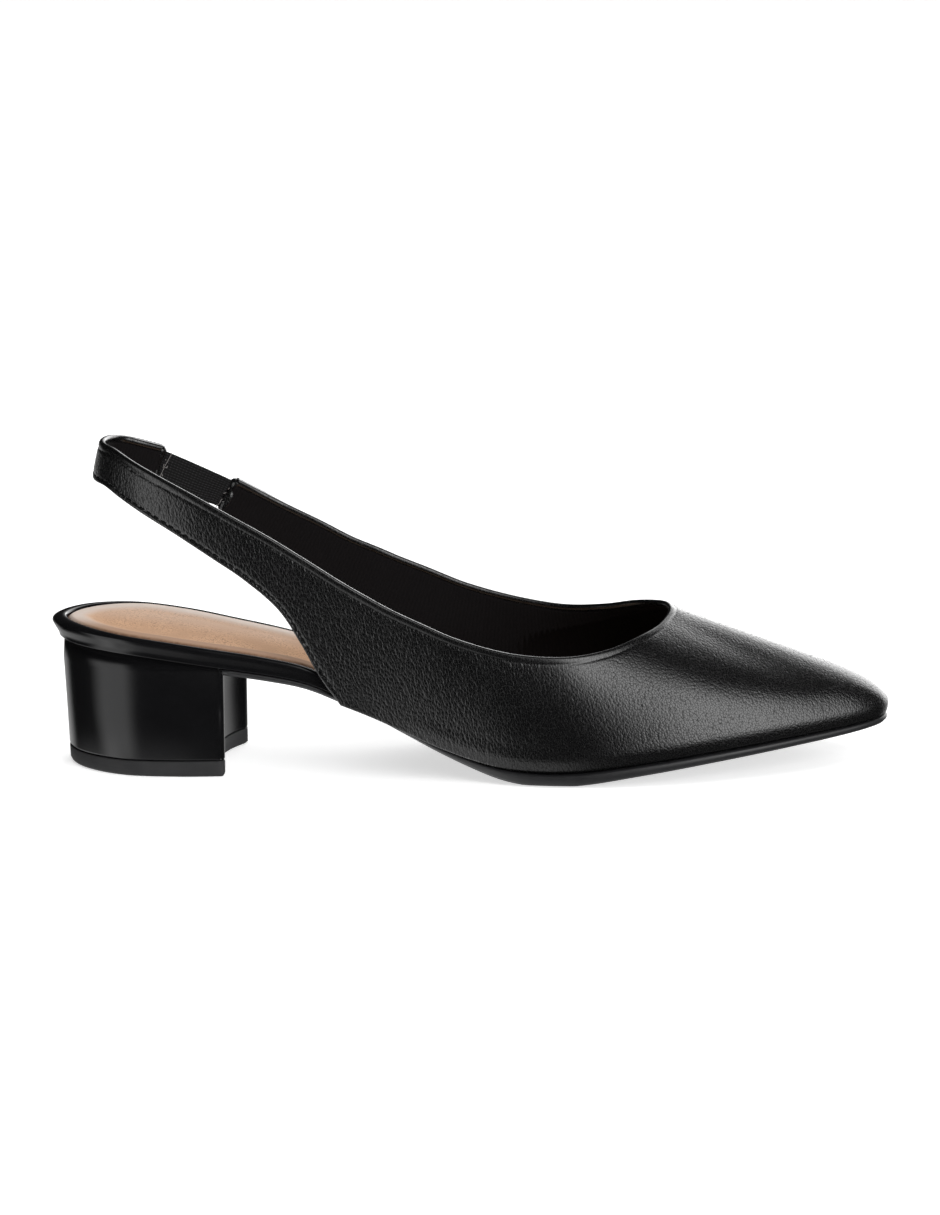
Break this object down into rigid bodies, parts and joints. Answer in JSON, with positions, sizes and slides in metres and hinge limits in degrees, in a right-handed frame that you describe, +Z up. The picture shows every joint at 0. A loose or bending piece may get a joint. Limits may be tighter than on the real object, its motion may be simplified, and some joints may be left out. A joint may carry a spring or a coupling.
{
  "type": "heeled slingback shoe",
  "caption": "Pointed-toe pump for the right foot with a slingback strap, elastic inset and low block heel.",
  "frame": {"origin": "centre of the bounding box at floor level, with the shoe standing on its sole and heel", "axes": "+X along the shoe towards the toe, +Y towards the inner side of the foot, +Z up"},
  "size_m": [0.2614, 0.0754, 0.1017],
  "materials": {
    "outsole": "matte black rubber with a bevelled edge",
    "lift": "satin black rubber",
    "heel": "high-gloss black wrap",
    "rim": "high-gloss black wrapped edge",
    "sock": "tan padded sock with a lighter far edge",
    "upper": "fine pebble grain, semi-matte black",
    "knit": "fine black ribbed elastic"
  },
  "bodies": {
    "root": {"outsole": "outsole", "heel_lift": "lift", "heel_block": "heel", "platform": "rim", "insole": "sock", "upper": "upper", "elastic": "knit"}
  },
  "joints": []
}
